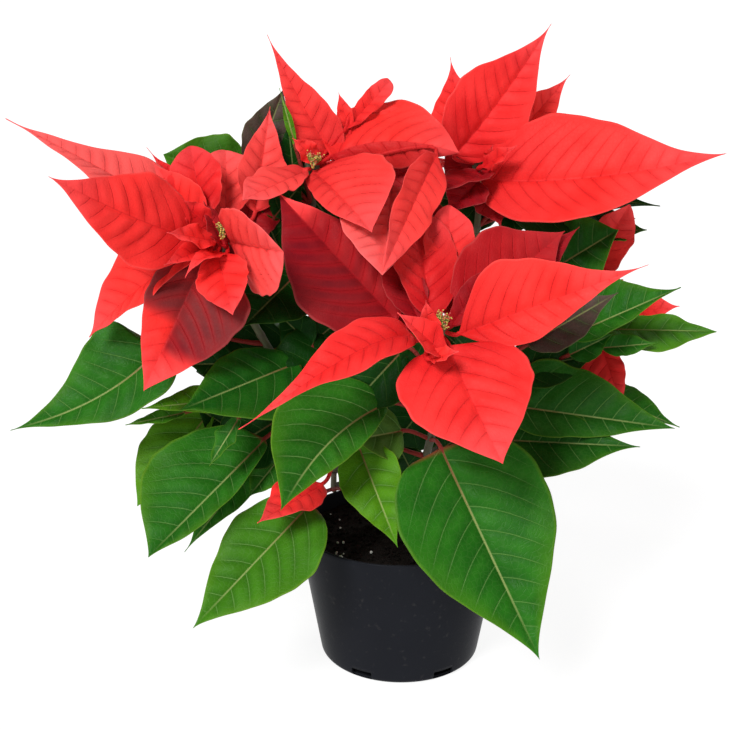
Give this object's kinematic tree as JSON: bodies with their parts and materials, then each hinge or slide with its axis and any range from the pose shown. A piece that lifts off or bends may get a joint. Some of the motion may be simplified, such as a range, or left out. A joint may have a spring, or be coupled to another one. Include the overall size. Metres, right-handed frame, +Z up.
{
  "type": "potted poinsettia",
  "caption": "Red poinsettia with green leaves and cyathia, growing in soil in a round black plastic nursery pot.",
  "frame": {"origin": "centre of the pot's flat base", "axes": "+Z up, -Y towards the plant's front, +X to its right as seen from the front"},
  "size_m": [0.39, 0.298, 0.358],
  "materials": {
    "pot": "satin",
    "soil": "rough",
    "leaf": "satin",
    "bract": "satin",
    "cyathium": "satin"
  },
  "bodies": {
    "root": {"pot": "pot", "potting_soil": "soil", "leafy_stem_left": "leaf", "leafy_stem_front": "leaf", "leafy_stem_back": "leaf", "bracts_left": "bract", "cyathia_left": "cyathium", "bracts_top": "bract", "cyathia_top": "cyathium", "bracts_front": "bract", "cyathia_front": "cyathium", "bracts_right": "bract", "cyathia_right": "cyathium", "bracts_outer": "bract", "cyathia_outer": "cyathium", "bracts_back": "bract", "cyathia_back": "cyathium", "bracts_low": "bract"}
  },
  "joints": []
}
